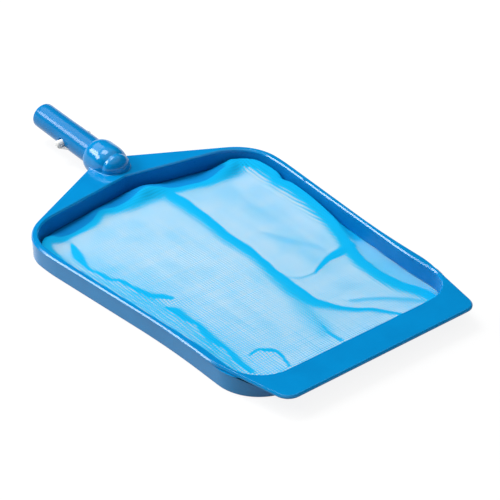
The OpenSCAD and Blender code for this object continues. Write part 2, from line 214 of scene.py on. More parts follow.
def pull(name, loops, angle=SHARP):
    """Closed shell through loops of points in millimetres, all with the same count."""
    only()
    bpy.ops.mesh.primitive_circle_add(vertices=len(loops[0]), radius=0.1)
    piece = bpy.context.active_object
    piece.name = piece.data.name = name
    piece.data.attributes.new("place", "INT", "POINT")
    piece.data.attributes["place"].data.foreach_set("value", range(len(loops[0])))
    bpy.ops.object.mode_set(mode="EDIT")
    bpy.ops.mesh.select_all(action="SELECT")
    for n, loop in enumerate(loops):
        if n:
            bpy.ops.mesh.extrude_edges_move()
        shape = bmesh.from_edit_mesh(piece.data)
        place = shape.verts.layers.int["place"]
        for point in shape.verts:
            if point.select:
                point.co = loop[point[place]] * MM
    bmesh.update_edit_mesh(piece.data)
    bpy.ops.object.mode_set(mode="OBJECT")
    piece.data.attributes.remove(piece.data.attributes["place"])
    return close_up(piece, angle)


def mirrored(piece, name, angle):
    """Copy of a piece on the other side of the middle."""
    only(piece)
    bpy.ops.object.duplicate()
    other = bpy.context.active_object
    other.name = other.data.name = name
    other.data.transform(Matrix.Scale(-1, 4, (1, 0, 0)))
    return close_up(other, angle)


def joined(name, *pieces):
    """One object from several finished shells."""
    only(*pieces)
    bpy.ops.object.join()
    piece = bpy.context.active_object
    piece.name = piece.data.name = name
    return piece


def report(piece):
    """Says how much mesh a piece has."""
    mesh = piece.data
    mesh.calc_loop_triangles()
    print(piece.name, len(mesh.vertices), "points,", len(mesh.loop_triangles), "triangles")


# %% [markdown]
# ## The frame
# The real frame is one injection moulding in polypropylene. Both edges of its rim have a soft
# chamfer that catches the light as a thin line. The rim stands a millimetre out over the
# wall, and the wall's lower edge is rounded where it slides over tiles. The section goes once
# round: up the inside of the rim, over its top, down the wall and back up the pocket that
# takes the net's hem.

# %% Section of the frame
INNER_EDGE, OUTER_EDGE = 1.4, 1.5
# share of a chamfer's size across and down: two soft corners with a flat between them
CHAMFER = [(0, 1), (0.06, 0.82), (0.12, 0.76), (0.76, 0.12), (0.82, 0.06), (1, 0)]
# a loop just short of each rounding keeps the flat part's shading true
HOLD, HOLD_IN = 0.5, 0.8
LIP_EDGE, WALL_EDGE, FOOT_EDGE, POCKET_EDGE = 0.35, 0.3, 1.0, 0.4
section = levels("opening", (0, RIM_Z), (0, TOP - INNER_EDGE - HOLD),
                 *[(INNER_EDGE * a, TOP - INNER_EDGE * b) for a, b in CHAMFER],
                 (INNER_EDGE + HOLD_IN, TOP))
section += levels("rim", (-OUTER_EDGE - HOLD, TOP),
                  *[(-OUTER_EDGE * b, TOP - OUTER_EDGE * a) for a, b in CHAMFER],
                  (0, RIM_Z + LIP_EDGE), (-LIP_EDGE, RIM_Z))
section += levels("wall", (WALL_EDGE, RIM_Z), (0, RIM_Z - WALL_EDGE),
                  (0, RIM_Z - WALL_EDGE - HOLD), (0, FOOT_EDGE + HOLD), (0, FOOT_EDGE),
                  *[(-FOOT_EDGE * a, FOOT_EDGE * b) for a, b in rounding(3)])
section += levels("opening", (POCKET + POCKET_EDGE, 0), (POCKET, POCKET_EDGE),
                  (POCKET, RIM_Z))
shell = pull("frame_shell", section + section[:1])


# %% [markdown]
# ## Slots for the ring's tongues
# Two small tongues on the retaining ring come up through the rim beside the opening and show
# as pale specks, from a painted highlight on their tips. The slots are cut with a box, as the
# mould's core does.

# %% Cut the slots
TONGUE_Y, TONGUE_OUT = Y_REAR - 119.5, 1.2
half_opening = OUTLINES["opening"][:sum(SPREAD) + 1]
tongue_x = TONGUE_OUT + float(np.interp(-TONGUE_Y, -half_opening[:, 1], half_opening[:, 0]))
lean = atan2(REAR_X - FRONT_X, TAPER_REAR - TAPER_FRONT)


def block(name, side, wide, long, z0, z1):
    """Upright block on a tongue's place, turned along the tapering side."""
    turn = -side * lean
    ring = [(side * tongue_x + (x * cos(turn) - y * sin(turn)) / 2,
             TONGUE_Y + (x * sin(turn) + y * cos(turn)) / 2)
            for x, y in ((-wide, -long), (wide, -long), (wide, long), (-wide, long))]
    return pull(name, [np.insert(ring, 2, z, axis=1) for z in (z0, z1)])


def cut(piece, cutter):
    """Takes the cutter's shape out of a piece, then removes the cutter."""
    change = piece.modifiers.new("cut", "BOOLEAN")
    change.operation = "DIFFERENCE"
    change.object = cutter
    only(piece)
    bpy.ops.object.modifier_apply(modifier="cut")
    bpy.data.objects.remove(cutter)


TONGUE_W, TONGUE_L, SLOT_GAP = 1.3, 4.0, 0.3
for side in (-1, 1):
    cut(shell, block("slot", side, TONGUE_W + SLOT_GAP, TONGUE_L + SLOT_GAP, RIM_Z - 1, TOP + 1))
only(shell)
bpy.ops.object.shade_smooth_by_angle(angle=radians(SHARP))

# %% [markdown]
# ## The handle's socket
# The socket is turned about the handle's axis, which rises a little towards the free end. It
# has a round nose over the opening's rear edge, a crease, a swelling barrel and a mouth that
# rolls in to the tube. A circle of points is pulled along the axis, with its radius changed
# at each step, like work on a lathe.

# %% Points about the handle's axis
TILT, AXIS_Z, ROUND = radians(2.5), 20.5, 96


def on_handle(points):
    """Turns x, distance along the axis and height over it to the frame's own place."""
    x, back, up = np.asarray(points, float).T
    return np.column_stack([x, Y_REAR + back * cos(TILT) - up * sin(TILT),
                            AXIS_Z + back * sin(TILT) + up * cos(TILT)])


def turned(radius, back):
    w = np.linspace(0, 2 * pi, ROUND, endpoint=False)
    return on_handle(np.column_stack([radius * np.cos(w), np.full(ROUND, back),
                                      radius * np.sin(w)]))


# %% Turn the socket
TUBE_R, TUBE_BORE, SOCKET_R, NOSE_R = 14.0, 11.8, 19.4, 16.4
NOSE_FRONT, NOSE_L, SHOULDER_L, MOUTH_L, SOCKET_END = 5.2, 14.0, 14.0, 12.0, 54.0
CREASE, CREASE_REACH = 0.6, 2.6
SOCKET_FLOOR, CLEAR = 17, 0.05
# distances from the crease at which the shoulder gets a circle, closest where it bends most
SHOULDER = (-5.5, -4, -3, -2.2, -1.5, -0.8, 0, 0.6, 1.3, 2.1, 3, 4, 5.2, 6.5, 8, 9.5, 11, 12.5, 14)
barrel = NOSE_FRONT + NOSE_L


def socket_radius(back):
    """Radius of the round nose and of the barrel that swells out behind it."""
    if back < barrel:
        return NOSE_R * sqrt(max(0.0, 1 - (1 - (back - NOSE_FRONT) / NOSE_L) ** 2))
    t = min(1, (back - barrel) / SHOULDER_L)
    return NOSE_R + (SOCKET_R - NOSE_R) * (0.8 * (1 - (1 - t) ** 3) + 0.2 * t * t * (3 - 2 * t))


def creased(back):
    """The same with the soft crease between the nose and the barrel."""
    return socket_radius(back) - CREASE * exp(-((back - barrel) / CREASE_REACH) ** 2)


lathe = [(NOSE_R * sin(w), NOSE_FRONT + NOSE_L * (1 - cos(w)))
         for w in [0.03] + [pi / 2 * k / 14 for k in range(1, 10)]]
lathe += [(creased(barrel + step), barrel + step) for step in SHOULDER]
lathe += [(SOCKET_R - (SOCKET_R - TUBE_R) * a, SOCKET_END - MOUTH_L * b)
          for a, b in rounding(12, first=0)[:-1]]
lathe += [(TUBE_R + 0.5, SOCKET_END), (TUBE_R + CLEAR, SOCKET_END - 0.4),
          (TUBE_R + CLEAR, SOCKET_FLOOR), (0.3, SOCKET_FLOOR)]
socket = pull("socket", [turned(*place) for place in lathe], angle=40)

# %% [markdown]
# ## Ribs under the plate and the lip
# A wide thin plate would sink and warp in the mould, so upright ribs stiffen it from below.
# They are flat walls, a little thinner at their lower edge so that they leave the mould.

# %% Set the ribs
RIB_T, RIB_H = 2.4, 9.0
RIB_EDGE, RIB_SHORT = 1.0, 5.0
PLATE_RIB_X, LIP_RIBS = (38, 68, 98), 7


def rib(name, start, end):
    """Upright rib from a wall to near the rim's edge, where it is cut away at 45 degrees.
    Its lower edge is a little thinner."""
    a, b = np.array(start, float), np.array(end, float)
    along = unit(b - a)
    across = np.array([-along[1], along[0]]) * RIB_T / 2
    depth = min(RIB_H, hypot(*(b - a)) + 0.5)
    loops = []
    for z, thin, short in ((RIM_Z + 0.4, 1, 0), (RIM_Z - RIB_EDGE, 1, 0),
                           (RIM_Z - depth + 0.4, 0.8, depth - 1.4),
                           (RIM_Z - depth, 0.5, depth - 0.9)):
        p, q = a, b - along * short
        ring = [p - across * thin, q - across * thin, q + across * thin, p + across * thin]
        loops.append(np.insert(ring, 2, z, axis=1))
    return pull(name, loops)


ribs = []
for side in (-1, 1):
    for x in PLATE_RIB_X:
        wall_y = Y_REAR + END_WALL - x * REAR_TAN - 1
        edge_y = Y_REAR + PLATE_L - x * PLATE_TAN - RIB_SHORT
        ribs.append(rib("rib", (side * x, wall_y), (side * x, max(edge_y, wall_y + 4))))
for k in range(LIP_RIBS):
    x = (k - LIP_RIBS // 2) * 2 * FRONT_X / (LIP_RIBS + 1)
    ribs.append(rib("rib", (x, Y_FRONT - END_WALL + 1), (x, Y_LIP + RIB_SHORT)))

# %% [markdown]
# ## The fillet where the barrel meets the plate
# A mould has no sharp inner corner, so the barrel runs into the flat plate over a small
# hollow curve. It catches the light as a thin line. A strip with that section is pulled
# along the line in which barrel and plate meet, and copied to the other side.

# %% Draw the fillet
def fillet_loop(back, size=1.5):
    """Section of the fillet on the right side, at a distance along the axis."""
    drop = (TOP - AXIS_Z - back * sin(TILT)) / cos(TILT)
    foot = sqrt(max(0.04, socket_radius(back) ** 2 - drop ** 2))
    climb = sqrt(max(0.04, socket_radius(back) ** 2 - (drop + size) ** 2))
    curve = [(climb + (foot + size - climb) * a, drop + size * b)
             for a, b in rounding(5, first=0)]
    ring = [(x, back, up) for x, up in curve + [(foot + size, drop - 0.6), (foot - 1, drop - 0.6)]]
    return on_handle(ring)


# its stations are closest at the nose, where the line turns most
stations = np.concatenate([[5.6, 6.5, 8, 10, 13, 16], np.linspace(19.3, 36.5, 12)])
fillet = pull("fillet", [fillet_loop(back) for back in stations], angle=50)
other_fillet = mirrored(fillet, "fillet_left", angle=50)

# %% Make the frame one piece
frame_piece = joined("frame_finish", *ribs, fillet, other_fillet, socket, shell)

# %% [markdown]
# ## The retaining ring
# A separate ring of the same plastic is pressed in from below. It pinches the net's hem
# against the wall and is what the eye sees as the inner wall of the pan. Its lower edge is
# rounded, so that it doesn't cut the net.

# %% Pull the ring and add its tongues
RING_LOW, RING_TOP, RING_ROUND, RING_EDGE = 1.8, RIM_Z - 0.05, 0.6, 0.4
ring_loops = levels("opening", (RING_IN, RING_TOP), (RING_IN, RING_LOW + RING_ROUND),
                    *[(RING_IN + RING_ROUND * a, RING_LOW + RING_ROUND * b)
                      for a, b in rounding(4)],
                    (RING_OUT - RING_EDGE, RING_LOW), (RING_OUT, RING_LOW + RING_EDGE),
                    (RING_OUT, RING_TOP))
ring_body = pull("ring_body", ring_loops + ring_loops[:1])
tongues = [block("tongue", side, TONGUE_W, TONGUE_L, RIM_Z - 0.5, TOP + 0.05)
           for side in (-1, 1)]
for part in (*tongues, ring_body):
    # the first slot is the ring's own finish, the second the tongues' tips, painted pale as a
    # highlight
    part.data.materials.append(None)
    part.data.materials.append(None)
for part in tongues:
    for face in part.data.polygons:
        face.material_index = 1
ring_piece = joined("ring_finish", *tongues, ring_body)

# %% [markdown]
# ## The handle tube
# The tube is pulled along the axis like the socket: outside, over the rounded free end, and
# back down the bore. Past the buttons it is a little slimmer, so that it enters a pole.

# %% Turn the tube
TUBE_START, TUBE_END, TUBE_SHARP = 17.5, 150.4, 24
LEAD_R, LEAD_L, LEAD_STEP_L = 13.8, 46, 12
END_L, END_DROP, BORE_EDGE = 1.2, 1.1, 0.4
lead_start = TUBE_END - END_L - LEAD_L
# circles along the straight parts keep their shading true up to the rounded end
lathe = [(TUBE_BORE, TUBE_START)]
lathe += [(TUBE_R, back) for back in np.linspace(TUBE_START, lead_start - LEAD_STEP_L, 10)]
lathe += [(LEAD_R, back) for back in np.linspace(lead_start, TUBE_END - END_L, 8)]
lathe += [(LEAD_R - END_DROP * a, TUBE_END - END_L * b) for a, b in rounding(4)]
lathe += [(TUBE_BORE + BORE_EDGE, TUBE_END), (TUBE_BORE, TUBE_END - BORE_EDGE), lathe[0]]
tube_piece = pull("tube_finish", [turned(*place) for place in lathe], angle=TUBE_SHARP)

# %% Cut the windows for the buttons
BUTTON_BACK, BUTTON_R, BUTTON_Z, BUTTON_OUT, GAP = 95.0, 4.0, -2.2, 7, 0.35
tube_side = sqrt(TUBE_R ** 2 - BUTTON_Z ** 2)
BUTTON_TIP = tube_side + BUTTON_OUT
bore_side = sqrt(TUBE_BORE ** 2 - (BUTTON_R - BUTTON_Z) ** 2)
ARM_T, ARM_L, BEND_R, PRESS_ANGLE = 2.0, 50, 4.5, radians(8)
ARM_X, ROOT_X, ROOT_BACK = bore_side - GAP - ARM_T / 2, BEND_R + ARM_T / 2, BUTTON_BACK - ARM_L
SWING = (BUTTON_TIP - ROOT_X) * sin(PRESS_ANGLE)
TAIL_L, TAIL_T, TAIL_Z = 11.0, 1.6, BUTTON_Z - BUTTON_R


def across(ring, x0, x1):
    """Two loops across the handle, from a ring of distances and heights."""
    return [on_handle([(x, back, up) for back, up in ring]) for x in (x0, x1)]


# round-ended hole with the room that a button needs as it swings in
hole_r = BUTTON_R + GAP
button_hole = [(BUTTON_BACK + shift + hole_r * cos(w), BUTTON_Z + hole_r * sin(w))
               for shift, start in ((0, pi / 2), (SWING, -pi / 2))
               for w in np.linspace(start, start + pi, 17)]
y0, y1 = BUTTON_BACK - TAIL_L - GAP, BUTTON_BACK + SWING
z0, z1 = TAIL_Z - GAP, TAIL_Z + TAIL_T + GAP
tail_hole = [(y0, z0), (y1, z0), (y1, z1), (y0, z1)]
for side in (-1, 1):
    for ring in (button_hole, tail_hole):
        cut(tube_piece, pull("hole", across(ring, side * bore_side / 2,
                                            side * (bore_side / 2 + TUBE_R))))
only(tube_piece)
bpy.ops.object.shade_smooth_by_angle(angle=radians(TUBE_SHARP))

# %% [markdown]
# ## The sprung clip
# A strip of white acetal, bent to a V inside the tube, pushes a round button out through each
# side. The strips are swept with a rounded section, and a button is a short pin with a
# domed end. One side is modelled and mirrored to make the other.

# %% Sweep a flat strip along a path
def strip(name, path, edge=0.35):
    """Strip that stands on edge along a path of x and distance, with rounded corners."""
    path = np.array(path, float)
    loops = []
    for n, point in enumerate(path):
        along = unit(path[min(n + 1, len(path) - 1)] - path[max(n - 1, 0)])
        outward = np.array([along[1], -along[0]])
        ring = []
        for sx, sz in ((1, 1), (-1, 1), (-1, -1), (1, -1)):
            for k in range(4):
                w = pi / 2 * k / 3 + atan2(sz, sx) - pi / 4
                a = sx * (ARM_T / 2 - edge) + edge * cos(w)
                b = sz * (BUTTON_R - edge) + edge * sin(w)
                ring.append((*(point + outward * a), BUTTON_Z + b))
        loops.append(on_handle(ring))
    return pull(name, loops)


# %% The bend, an arm and its button
LEG_L, FLEX_GAP = BEND_R + ARM_T + 1, 0.3
bend_back = ROOT_BACK - ARM_T / 2 - FLEX_GAP - LEG_L
mid_r = BEND_R + ARM_T / 2
bend_path = [(-mid_r, bend_back + LEG_L)]
bend_path += [(-mid_r * cos(w), bend_back - mid_r * sin(w)) for w in np.linspace(0, pi, 25)]
bend_path += [(mid_r, bend_back + LEG_L)]
bend_piece = strip("clip_bend_finish", bend_path)

arm_path = [(ROOT_X, ROOT_BACK - ARM_T / 2), (ROOT_X, ROOT_BACK),
            (ARM_X, BUTTON_BACK - BUTTON_R), (ARM_X, BUTTON_BACK + 4)]
arm = strip("arm", arm_path)
DOME, PIN_POINTS = 2.6, 48
w = np.linspace(0, 2 * pi, PIN_POINTS, endpoint=False)
pin = [(BUTTON_R, ARM_X)] + [(BUTTON_R - DOME * a, BUTTON_TIP - DOME * b)
                             for a, b in rounding(6, first=0)]
pin_loops = [on_handle(np.column_stack([np.full(PIN_POINTS, x), BUTTON_BACK + r * np.cos(w),
                                        BUTTON_Z + r * np.sin(w)])) for r, x in pin]
button = pull("button", pin_loops, angle=50)
tail_tip = BUTTON_TIP - 1.2
tail_ring = [(ARM_X, BUTTON_BACK), (tail_tip, BUTTON_BACK), (tail_tip, BUTTON_BACK - 2),
             (tube_side - 1.4, BUTTON_BACK - TAIL_L), (ARM_X - ARM_T / 2, BUTTON_BACK - TAIL_L)]
tail = pull("tail", [on_handle([(x, back, z) for x, back in tail_ring])
                     for z in (TAIL_Z, TAIL_Z + TAIL_T)])
bevel = tail.modifiers.new("edge", "BEVEL")
bevel.width, bevel.segments = 0.3 * MM, 2
only(tail)
bpy.ops.object.modifier_apply(modifier="edge")
right_arm = joined("clip_right_finish", arm, tail, button)

# %% Mirror the arm to the other side
left_arm = mirrored(right_arm, "clip_left_finish", angle=40)

# %% [markdown]
# ## The hem
# The net's edge is folded over and stitched to a tape, which stands in the pocket between
# the wall and the ring. It shows only from below, as a thin line. Its section is a narrow
# fold, rounder at the bottom, where the net turns in under the ring.

# %% Fold the hem
HEM_TOP, HEM_LOW = 12.3, 0.75
hem_mid, hem_half = (HEM_IN + HEM_OUT) / 2, (HEM_OUT - HEM_IN) / 2
half_turn = [pi / 4 * k for k in range(1, 5)]
hem_loops = levels("opening", (HEM_IN, HEM_TOP), (HEM_IN, HEM_LOW + 0.05),
                   *[(hem_mid - hem_half * cos(w), HEM_LOW - hem_half * sin(w))
                     for w in half_turn],
                   (HEM_OUT, HEM_TOP), (hem_mid, HEM_TOP + 0.2))
hem_piece = pull("hem_finish", hem_loops + hem_loops[:1], angle=70)

# %% [markdown]
# ## The net
# The net is one sheet of fine nylon mesh, wider than the frame, so it lies slack. It turns in
# under the ring, billows up beside the rear and the right wall, and between them it lies
# nearly flat, with a long soft fold down its middle and smaller ones near the lip. A grid
# with squares of about a millimetre is laid over the opening. Each fold is a line over which
# the sheet is lifted, and at a billow the lift is steeper towards the wall.

# %% Lay the grid over the opening
NET_REACH, NET_Z = 2.4, 1.05
net_front = Y_FRONT - NET_REACH
net_rear = Y_REAR + NET_REACH / cos(REAR_ANGLE)
net_edge = grown(OUTLINES["opening"], NET_REACH)
half_edge = net_edge[:sum(SPREAD) + 1]
# the half width of every row, from the front edge (share 0) to the rear edge (share 1)
share = (half_edge[:, 1] - net_front) / (net_rear - half_edge[:, 0] * REAR_TAN - net_front)
sides = slice(np.flatnonzero(share > 0.9995).max(), np.flatnonzero(share < 0.0005).min() + 1)
row_share, row_x = share[sides][::-1], half_edge[sides, 0][::-1]

only()
bpy.ops.mesh.primitive_grid_add(x_subdivisions=258, y_subdivisions=338, size=1)
net_piece = bpy.context.active_object
net_piece.name = net_piece.data.name = "net_cloth"
grid = np.empty(len(net_piece.data.vertices) * 3, np.float32)
net_piece.data.vertices.foreach_get("co", grid)
grid = grid.reshape(-1, 3).astype(float) + 0.5
flat_x = (2 * grid[:, 0] - 1) * np.interp(grid[:, 1], row_share, row_x)
flat_y = net_front + grid[:, 1] * (net_rear - np.abs(flat_x) * REAR_TAN - net_front)
flat = np.column_stack([flat_x, flat_y - Y_MIDDLE])
print("net", round(2 * row_x.max(), 1), "mm wide")


# %% Distance from a line, and the side of it
def smooth_line(points, steps=5):
    """Smooth line through a few points, which may carry a height as well."""
    p = np.array(points, float)
    p = np.vstack([2 * p[0] - p[1], p, 2 * p[-1] - p[-2]])
    line = []
    for a, b, c, d in zip(p, p[1:], p[2:], p[3:]):
        for t in np.arange(steps) / steps:
            line.append(b + 0.5 * t * (c - a + t * (2 * a - 5 * b + 4 * c - d
                                                    + t * (3 * (b - c) + d - a))))
    line.append(p[-2])
    return np.array(line)


def beside(line, spots):
    """Distance of each spot from a line, which side it is on (+1 is left of the way that the
    line runs) and the height that the line has there."""
    near = np.full(len(spots), 1e9)
    side, height = np.ones(len(spots)), np.zeros(len(spots))
    for a, b in zip(line, line[1:]):
        run = b[:2] - a[:2]
        t = np.clip((spots - a[:2]) @ run / (run @ run), 0, 1)
        off = spots - a[:2] - t[:, None] * run
        gap = np.hypot(*off.T)
        closer = gap < near
        near[closer] = gap[closer]
        turn = run[0] * (spots[:, 1] - a[1]) - run[1] * (spots[:, 0] - a[0])
        side[closer] = np.where(turn[closer] < 0, -1, 1)
        if len(a) > 2:
            height[closer] = (a[2] + t * (b[2] - a[2]))[closer]
    return near, side, height


def eased(x):
    x = np.clip(x, 0, 1)
    return x * x * (3 - 2 * x)


# %% [markdown]
# Where mesh lies in a fold, several layers overlap and let less light through, so a fold
# reads as a clear cyan band with a sharp edge where the sheet turns over. Each fold is a line
# of points with a strength. On either side it has a reach, which is how far the threads close
# up, and the soft part of that reach. The closing is kept on the sheet as an attribute for
# the weave.

# %% The folds, as x, y from the opening's middle, and strength
# each has its points, the reach and its soft part right and left of its way, and a share
FOLDS = {
    "long": ([(27, 159, 5), (32, 145, 5), (34, 123, 5), (33, 97, 4.5), (31, 71, 4),
              (28, 40, 4), (29, 14, 4), (26, -8, 3.5), (23, -31, 3.5), (21, -50, 4.5),
              (20, -71, 5), (20, -93, 4.5), (27, -108, 3), (36, -122, 2.2), (51, -136, 1.8),
              (67, -158, 1.4)], (15, 12), (2, 1.6), 1.0),
    "branch": ([(104, -47, 7), (88, -47, 6), (74, -49, 4), (60, -54, 2.5), (50, -58, 1.2)],
               (5, 2), (5, 3), 0.95),
    "join": ([(50, -58, 2), (36, -56, 2.5), (22, -50, 3)], (3, 2.5), (4, 3), 0.4),
    "left": ([(-111, 80, 1.5), (-108, 67, 2.5), (-106, 54, 2.5), (-100, 45, 2.5),
              (-98, 32, 2.5), (-96, 20, 3), (-93, 7, 4), (-87, 0, 4.5), (-81, -8, 3)],
             (4, 2), (6, 4.5), 0.92),
    "lower left": ([(-93, -18, 2), (-90, -27, 5), (-91, -38, 5), (-89, -48, 3.5),
                    (-87, -57, 3), (-90, -71, 4.5), (-92, -85, 4.5), (-90, -96, 3),
                    (-90, -106, 3), (-93, -119, 3.5), (-94, -131, 3), (-94, -142, 2.5)],
                   (5, 3), (7, 5.5), 0.9),
    "corner": ([(-98, 129, 1), (-102, 117, 3.5), (-106, 104, 5), (-109, 92, 3), (-111, 80, 2)],
               (7, 4), (5, 4), 0.85),
    "loop": ([(-80, -122, 1.5), (-70, -120, 2.5), (-65, -126, 4), (-61, -129, 4),
              (-58, -134, 3), (-59, -142, 2.5), (-63, -155, 2)], (3.5, 2), (4, 3), 0.8),
    "small": ([(1, -121, 1), (-3, -137, 2.5), (-3, -155, 3)], (5, 4), (5, 4), 0.7),
    "shade": ([(14, -78, 3), (3, -108, 3.5), (-5, -136, 3)], (20, 18), (16, 15), 0.3),
    "lip": ([(45, -113, 2), (64, -125, 3), (85, -143, 3), (96, -157, 2)], (8, 7), (6, 5), 0.4),
    "patch": ([(57, 30, 2), (64, 11, 4), (73, -8, 4), (83, -26, 4)], (13, 11), (8, 7), 0.2),
    "far side": ([(84, 128, 3), (82, 60, 4), (78, 0, 4), (70, -40, 3)], (30, 30), (26, 26), 0.1),
}
# where the threads are drawn apart, the net is paler along a fine line
PALE_SHARE, PALE_REACH = 0.14, 2
PALE = [
    [(-72, 140, 2), (-83, 121, 3), (-92, 102, 3), (-88, 96, 3), (-82, 101, 3), (-72, 121, 3),
     (-60, 142, 2)],
    [(-94, 66, 2), (-85, 59, 3), (-77, 46, 3), (-76, 32, 3), (-75, 18, 2)],
    [(-71, -21, 3), (-77, -37, 4), (-77, -51, 3), (-80, -69, 3), (-80, -87, 3), (-74, -107, 2)],
    [(50, 55, 2), (45, 26, 4), (39, -1, 4), (32, -28, 4), (32, -40, 3)],
    [(56, 40, 2), (55, 12, 3), (58, -12, 3), (50, -30, 3), (40, -40, 2)],
    [(46, 140, 3), (42, 112, 4), (44, 84, 3), (50, 58, 2)],
]
# crests of the sheet, with their height in millimetres
RIGHT_BILLOW = [(112, 147, 9), (122, 143, 11), (129, 133, 12), (131, 118, 12), (131, 98, 11),
                (128, 89, 9), (129, 70, 11), (127, 45, 11), (124, 22, 10), (119, -3, 8.5),
                (111, -28, 6.5), (104, -46, 4.5), (97, -70, 4), (94, -98, 4), (97, -125, 4),
                (105, -147, 4), (108, -164, 3)]
LEFT_BILLOW = [(-131, 92, 3), (-131, 112, 7), (-128, 134, 8), (-116, 146, 6), (-100, 144, 3)]
# beside the left wall, outside these folds, the net is gathered and its threads lie closer
GATHERED = [(-122, 100, 2), (-113, 84, 3), (-107, 62, 3), (-100, 42, 3.5), (-96, 20, 4),
            (-88, 2, 4), (-88, -18, 4), (-90, -38, 4), (-88, -60, 4), (-91, -84, 4),
            (-90, -108, 4), (-94, -132, 3.5), (-96, -160, 3)]
REAR_CREST = [(-128, 143, 6), (-112, 148, 3), (-101, 142, 2), (-79, 143, 2), (-61, 148, 3),
              (-49, 156, 4), (-41, 157, 4), (-30, 153, 4), (-14, 153, 6), (2, 157, 9),
              (12, 158, 10), (24, 154, 8), (36, 148, 4), (54, 143, 3), (74, 139, 4),
              (92, 141, 7), (112, 147, 9)]

FOLD_REACH, WALL_REACH, GATHER_REACH, INNER_REACH, TALL = 12, 30, 40, 45, 4.5
inside = beside(np.vstack([net_edge, net_edge[:1]]) - [0, Y_MIDDLE], flat)[0] - NET_REACH
lift, close = np.zeros(len(flat)), np.zeros(len(flat))
for points, near_side, far_side, much in FOLDS.values():
    gap, side, strength = beside(smooth_line(points), flat)
    reach, soft = [np.where(side > 0, far, near) * strength / 4
                   for near, far in zip(near_side, far_side)]
    # powers of four are summed, so that where folds cross the taller one wins
    lift += (0.6 * much * strength * eased(1 - gap / FOLD_REACH)) ** 4
    close = np.maximum(close, much * np.clip((reach - gap) / soft, 0, 1) ** 1.3)
for points in PALE:
    gap, side, strength = beside(smooth_line(points), flat)
    close -= PALE_SHARE * strength * np.exp(-(gap / PALE_REACH) ** 2) * (close < 0.4)
for line, reach, much in ((RIGHT_BILLOW, 12.5, 0.92), (LEFT_BILLOW, 14, 0.9)):
    gap, side, height = beside(smooth_line(line), flat)
    lift += (height * eased(1 - gap / np.where(side > 0, 12, 17))) ** 4
    # beyond the crest the sheet drops to the wall, closed up beside the tall part only
    beyond = (0.3 + 0.7 * eased((height - TALL) / 3)) * (gap < WALL_REACH)
    close = np.maximum(close, much * np.where(side > 0, np.maximum(beyond, eased((4 - gap) / 2)),
                                              eased((reach - gap) / 9)))
gap, side, height = beside(smooth_line(GATHERED), flat)
pleats = 0.5 + 0.5 * np.sin(gap * 1.1 + 1.5 * np.sin(flat[:, 1] / 9))
outside = (side < 0) * eased(gap / 5) * (gap < GATHER_REACH) * height
close = np.maximum(close, outside * (0.06 + 0.05 * pleats))
close += 0.14 * (side > 0) * eased(1 - gap / INNER_REACH) * (close < 0.3)
gap, side, height = beside(smooth_line(REAR_CREST), flat)
lift += (height * eased(1 - gap / np.where(side > 0, 24, 16))) ** 4
# the taller the crest, the further down the sheet its threads stay closed up
below = 9 + 15 * np.clip((height - 2) / 7, 0, 1)
close = np.maximum(close, np.where(side > 0, 1, eased(1.15 * (1 - gap / below))))
# the strip between the crest and the rear wall, which ends before the right corner; the net there
# is painted a deeper blue as shade
painted_shade_strip = eased(0.5 + side * gap / 1.6) * eased((106 - flat[:, 0]) / 8)
lift = lift ** 0.25
print("tallest fold", lift.max().round(1), "mm")

# %% Add the small wrinkles and shape the sheet
CALM, WRINKLE = 0.9, 0.6
x, y = flat.T
# three uneven waves that cross, so that no pattern shows
wrinkle = (0.5 * np.sin((x * 0.9 + y * 0.3) / 6.1 + 1.4 * np.sin(y / 15))
           + 0.35 * np.sin((y - x * 0.25) / 4.3 + 2 * np.sin(x / 12))
           + 0.3 * np.sin((x * 0.5 + y) / 9.5 + 1.7 * np.sin((x - y) / 21)))
height = NET_Z + eased(inside / 3) * lift + eased(inside / 16) * (CALM + WRINKLE * wrinkle)
place = np.column_stack([x, y + Y_MIDDLE, height]) * MM
net_piece.data.vertices.foreach_set("co", place.astype(np.float32).ravel())
# the strip attribute marks where the net is painted darker as shade
for name, values in (("close", close), ("strip", painted_shade_strip)):
    net_piece.data.attributes.new(name, "FLOAT", "POINT")
    net_piece.data.attributes[name].data.foreach_set("value", values.astype(np.float32))
net_piece.data.update()
# the sheet's flat shape, in metres, is its UV map, so the weave follows the cloth
corners = np.empty(len(net_piece.data.loops), np.int32)
net_piece.data.loops.foreach_get("vertex_index", corners)
cloth_uv = (flat * MM)[corners].astype(np.float32)
net_piece.data.uv_layers.active.data.foreach_set("uv", cloth_uv.ravel())
only(net_piece)
bpy.ops.object.shade_smooth()

# %% [markdown]
# ## Materials
# The finishes are made from a few nodes each, added by small functions. Colours are given as
# they look on a screen and turned to the linear values that the shader works with.

# %% Tools for a material
def linear(colour):
    """Linear red, green, blue and alpha of an sRGB hex colour."""
    parts = [int(colour[k:k + 2], 16) / 255 for k in (1, 3, 5)]
    return [c / 12.92 if c <= 0.04045 else ((c + 0.055) / 1.055) ** 2.4 for c in parts] + [1]


def add(tree, kind, inputs=None, **settings):
    """Adds a node. An input is given by name or number, as a value or as another socket."""
    made = tree.nodes.new("ShaderNode" + kind)
    for name, value in settings.items():
        setattr(made, name, value)
    for name, value in (inputs or {}).items():
        if isinstance(value, bpy.types.NodeSocket):
            tree.links.new(value, made.inputs[name])
        else:
            made.inputs[name].default_value = value
    return made


def material(name):
    made = bpy.data.materials.new(name)
    made.use_nodes = True
    made.node_tree.nodes.clear()
    return made, made.node_tree


def maths(tree, operation, first, second=None, **settings):
    inputs = {0: first} if second is None else {0: first, 1: second}
    return add(tree, "Math", inputs, operation=operation, **settings).outputs[0]


def between(tree, value, low, high, at_low=0.0, at_high=1.0):
    """Maps a value from one range to another, and stops at its ends."""
    return add(tree, "MapRange", {0: value, 1: low, 2: high, 3: at_low,
                                  4: at_high}).outputs[0]


